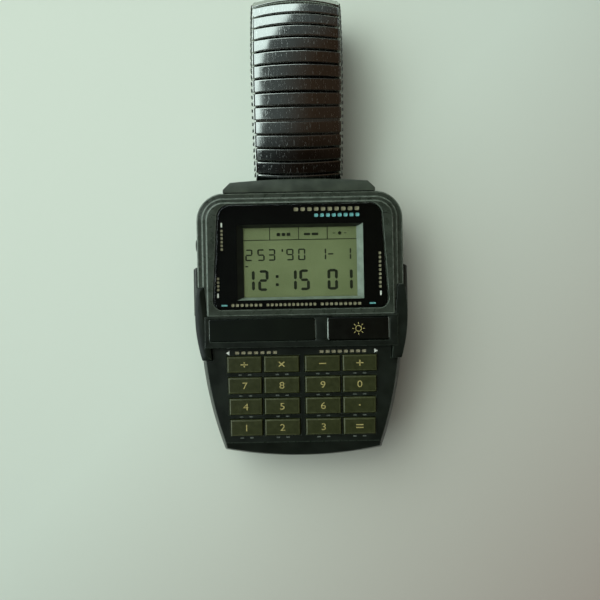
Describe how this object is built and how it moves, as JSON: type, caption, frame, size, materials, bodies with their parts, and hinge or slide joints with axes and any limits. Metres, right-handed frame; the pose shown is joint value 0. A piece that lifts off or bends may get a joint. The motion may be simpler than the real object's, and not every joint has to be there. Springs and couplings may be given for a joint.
{
  "type": "calculator watch",
  "caption": "Digital wristwatch with a small keypad below its display, side pushers and an expanding steel link band folded under the case.",
  "frame": {"origin": "centre of the case back's flat outer face", "axes": "+X towards the 3 o'clock side, +Y towards the 12 o'clock side, +Z out of the crystal"},
  "size_m": [0.0386, 0.0829, 0.0153],
  "materials": {
    "case_resin": "dark green-black resin, satin with worn lighter edges",
    "bezel_resin": "dark resin, satin with rubbed ridges",
    "crystal": "clear, polished",
    "black_mask": "black print behind the crystal",
    "seal_rubber": "soft, matt",
    "insert_panel": "glossy dark panel",
    "key_resin": "dark olive, satin",
    "light_cap": "glossy dark cap",
    "pusher_resin": "black, satin",
    "back_steel": "turned and brushed",
    "screw_steel": "plain",
    "spring_steel": "plain",
    "holder_plastic": "moulded",
    "board_laminate": "green solder mask",
    "chip_resin": "moulded",
    "can_metal": "plain",
    "cell_steel": "plain",
    "lcd_glass": "olive grey, semi-gloss",
    "glow_sheet": "pale",
    "strip_rubber": "zebra strip",
    "buzzer_brass": "plain",
    "key_rubber": "soft",
    "band_steel": "polished, with hairline scratches"
  },
  "bodies": {
    "watch_case": {"case_body": "case_resin", "bezel_frame": "bezel_resin", "crystal": "crystal", "crystal_seal": "seal_rubber", "display_mask": "black_mask", "crossbar": "bezel_resin", "panel_insert": "insert_panel", "case_back": "back_steel", "back_gasket": "seal_rubber", "back_screws": "screw_steel", "module_frame": "holder_plastic", "circuit_board": "board_laminate", "main_chip": "chip_resin", "quartz_can": "can_metal", "coin_cell": "cell_steel", "battery_clip": "spring_steel", "lcd_panel": "lcd_glass", "el_backlight": "glow_sheet", "lcd_connectors": "strip_rubber", "buzzer_disc": "buzzer_brass", "key_sheet": "key_rubber", "spring_bar_12": "spring_steel", "spring_bar_6": "spring_steel"},
    "key_divide": {"key_divide": "key_resin"},
    "key_multiply": {"key_multiply": "key_resin"},
    "key_subtract": {"key_subtract": "key_resin"},
    "key_add": {"key_add": "key_resin"},
    "key_7": {"key_7": "key_resin"},
    "key_8": {"key_8": "key_resin"},
    "key_9": {"key_9": "key_resin"},
    "key_0": {"key_0": "key_resin"},
    "key_4": {"key_4": "key_resin"},
    "key_5": {"key_5": "key_resin"},
    "key_6": {"key_6": "key_resin"},
    "key_point": {"key_point": "key_resin"},
    "key_1": {"key_1": "key_resin"},
    "key_2": {"key_2": "key_resin"},
    "key_3": {"key_3": "key_resin"},
    "key_equals": {"key_equals": "key_resin"},
    "light_button": {"light_button": "light_cap"},
    "mode_pusher": {"mode_pusher": "pusher_resin", "mode_clip": "spring_steel"},
    "start_pusher": {"start_pusher": "pusher_resin", "start_clip": "spring_steel"},
    "adjust_pusher": {"adjust_pusher": "pusher_resin", "adjust_clip": "spring_steel"},
    "end_piece_12": {"end_piece_12": "band_steel"},
    "band_links_1": {"band_links_1": "band_steel"},
    "band_links_2": {"band_links_2": "band_steel"},
    "band_links_3": {"band_links_3": "band_steel"},
    "band_links_4": {"band_links_4": "band_steel"},
    "band_links_5": {"band_links_5": "band_steel"},
    "band_links_6": {"band_links_6": "band_steel"},
    "band_links_7": {"band_links_7": "band_steel"},
    "band_links_8": {"band_links_8": "band_steel"},
    "end_piece_6": {"end_piece_6": "band_steel"},
    "band_links_12": {"band_links_12": "band_steel"},
    "band_links_11": {"band_links_11": "band_steel"},
    "band_links_10": {"band_links_10": "band_steel"},
    "band_links_9": {"band_links_9": "band_steel"}
  },
  "joints": [
    {"name": "key_divide_press", "type": "slide", "parent": "watch_case", "child": "key_divide", "axis": [0, 0, -1], "range_m": [0, 0.0004], "stiffness_N_per_m": 1200},
    {"name": "key_multiply_press", "type": "slide", "parent": "watch_case", "child": "key_multiply", "axis": [0, 0, -1], "range_m": [0, 0.0004], "stiffness_N_per_m": 1200},
    {"name": "key_subtract_press", "type": "slide", "parent": "watch_case", "child": "key_subtract", "axis": [0, 0, -1], "range_m": [0, 0.0004], "stiffness_N_per_m": 1200},
    {"name": "key_add_press", "type": "slide", "parent": "watch_case", "child": "key_add", "axis": [0, 0, -1], "range_m": [0, 0.0004], "stiffness_N_per_m": 1200},
    {"name": "key_7_press", "type": "slide", "parent": "watch_case", "child": "key_7", "axis": [0, 0, -1], "range_m": [0, 0.0004], "stiffness_N_per_m": 1200},
    {"name": "key_8_press", "type": "slide", "parent": "watch_case", "child": "key_8", "axis": [0, 0, -1], "range_m": [0, 0.0004], "stiffness_N_per_m": 1200},
    {"name": "key_9_press", "type": "slide", "parent": "watch_case", "child": "key_9", "axis": [0, 0, -1], "range_m": [0, 0.0004], "stiffness_N_per_m": 1200},
    {"name": "key_0_press", "type": "slide", "parent": "watch_case", "child": "key_0", "axis": [0, 0, -1], "range_m": [0, 0.0004], "stiffness_N_per_m": 1200},
    {"name": "key_4_press", "type": "slide", "parent": "watch_case", "child": "key_4", "axis": [0, 0, -1], "range_m": [0, 0.0004], "stiffness_N_per_m": 1200},
    {"name": "key_5_press", "type": "slide", "parent": "watch_case", "child": "key_5", "axis": [0, 0, -1], "range_m": [0, 0.0004], "stiffness_N_per_m": 1200},
    {"name": "key_6_press", "type": "slide", "parent": "watch_case", "child": "key_6", "axis": [0, 0, -1], "range_m": [0, 0.0004], "stiffness_N_per_m": 1200},
    {"name": "key_point_press", "type": "slide", "parent": "watch_case", "child": "key_point", "axis": [0, 0, -1], "range_m": [0, 0.0004], "stiffness_N_per_m": 1200},
    {"name": "key_1_press", "type": "slide", "parent": "watch_case", "child": "key_1", "axis": [0, 0, -1], "range_m": [0, 0.0004], "stiffness_N_per_m": 1200},
    {"name": "key_2_press", "type": "slide", "parent": "watch_case", "child": "key_2", "axis": [0, 0, -1], "range_m": [0, 0.0004], "stiffness_N_per_m": 1200},
    {"name": "key_3_press", "type": "slide", "parent": "watch_case", "child": "key_3", "axis": [0, 0, -1], "range_m": [0, 0.0004], "stiffness_N_per_m": 1200},
    {"name": "key_equals_press", "type": "slide", "parent": "watch_case", "child": "key_equals", "axis": [0, 0, -1], "range_m": [0, 0.0004], "stiffness_N_per_m": 1200},
    {"name": "light_button_press", "type": "slide", "parent": "watch_case", "child": "light_button", "axis": [0, 0, -1], "range_m": [0, 0.0004], "stiffness_N_per_m": 1200},
    {"name": "mode_push", "type": "slide", "parent": "watch_case", "child": "mode_pusher", "axis": [1, 0, 0], "range_m": [0, 0.0008], "stiffness_N_per_m": 1500},
    {"name": "start_push", "type": "slide", "parent": "watch_case", "child": "start_pusher", "axis": [-1, 0, 0], "range_m": [0, 0.0008], "stiffness_N_per_m": 1500},
    {"name": "adjust_push", "type": "slide", "parent": "watch_case", "child": "adjust_pusher", "axis": [1, 0, 0], "range_m": [0, 0.0006], "stiffness_N_per_m": 1500},
    {"name": "band_opening", "type": "hinge", "parent": "watch_case", "child": "end_piece_12", "pos_m": [0, 0.022, 0.0025], "axis": [-1, 0, 0], "range_deg": [0, 42]},
    {"name": "band_hinge_1", "type": "hinge", "parent": "end_piece_12", "child": "band_links_1", "pos_m": [0, 0.02522, 0.0047], "axis": [-1, 0, 0], "range_deg": [-5.85, 0]},
    {"name": "band_hinge_2", "type": "hinge", "parent": "band_links_1", "child": "band_links_2", "pos_m": [0, 0.03542, 0.00916], "axis": [-1, 0, 0], "range_deg": [-5.45, 0]},
    {"name": "band_hinge_3", "type": "hinge", "parent": "band_links_2", "child": "band_links_3", "pos_m": [0, 0.04428, 0.01003], "axis": [-1, 0, 0], "range_deg": [0, 7.75]},
    {"name": "band_hinge_4", "type": "hinge", "parent": "band_links_3", "child": "band_links_4", "pos_m": [0, 0.05294, 0.008], "axis": [-1, 0, 0], "range_deg": [0, 11.3]},
    {"name": "band_hinge_5", "type": "hinge", "parent": "band_links_4", "child": "band_links_5", "pos_m": [0, 0.05587, 0.00482], "axis": [-1, 0, 0], "range_deg": [-15.5, 0]},
    {"name": "band_hinge_6", "type": "hinge", "parent": "band_links_5", "child": "band_links_6", "pos_m": [0, 0.05516, 0.00056], "axis": [-1, 0, 0], "range_deg": [-24.6, 0]},
    {"name": "band_hinge_7", "type": "hinge", "parent": "band_links_6", "child": "band_links_7", "pos_m": [0, 0.05137, -0.0015], "axis": [-1, 0, 0], "range_deg": [-13.95, 0]},
    {"name": "band_hinge_8", "type": "hinge", "parent": "band_links_7", "child": "band_links_8", "pos_m": [0, 0.03796, -0.0015], "axis": [-1, 0, 0], "range_deg": [0, 8]},
    {"name": "band_foot_pivot", "type": "hinge", "parent": "watch_case", "child": "end_piece_6", "pos_m": [0, -0.023, 0.0025], "axis": [-1, 0, 0], "range_deg": [0, 20.3]},
    {"name": "band_hinge_12", "type": "hinge", "parent": "end_piece_6", "child": "band_links_12", "pos_m": [0, -0.02199, -0.00015], "axis": [-1, 0, 0], "range_deg": [0, 30.55]},
    {"name": "band_hinge_11", "type": "hinge", "parent": "band_links_12", "child": "band_links_11", "pos_m": [0, -0.01791, -0.0015], "axis": [-1, 0, 0], "range_deg": [-5.9, 0]},
    {"name": "band_hinge_10", "type": "hinge", "parent": "band_links_11", "child": "band_links_10", "pos_m": [0, -0.00674, -0.0015], "axis": [-1, 0, 0], "range_deg": [-15.15, 0]},
    {"name": "band_hinge_9", "type": "hinge", "parent": "band_links_10", "child": "band_links_9", "pos_m": [0, 0.00667, -0.0015], "axis": [-1, 0, 0], "range_deg": [-26, 0]}
  ],
  "couplings": [
    {"joint": "band_hinge_1", "follows": "band_opening", "ratio": -0.139},
    {"joint": "band_hinge_2", "follows": "band_opening", "ratio": -0.129},
    {"joint": "band_hinge_3", "follows": "band_opening", "ratio": 0.184},
    {"joint": "band_hinge_4", "follows": "band_opening", "ratio": 0.269},
    {"joint": "band_hinge_5", "follows": "band_opening", "ratio": -0.368},
    {"joint": "band_hinge_6", "follows": "band_opening", "ratio": -0.585},
    {"joint": "band_hinge_7", "follows": "band_opening", "ratio": -0.332},
    {"joint": "band_hinge_8", "follows": "band_opening", "ratio": 0.19},
    {"joint": "band_foot_pivot", "follows": "band_opening", "ratio": 0.483},
    {"joint": "band_hinge_12", "follows": "band_opening", "ratio": 0.727},
    {"joint": "band_hinge_11", "follows": "band_opening", "ratio": -0.14},
    {"joint": "band_hinge_10", "follows": "band_opening", "ratio": -0.36},
    {"joint": "band_hinge_9", "follows": "band_opening", "ratio": -0.619}
  ]
}
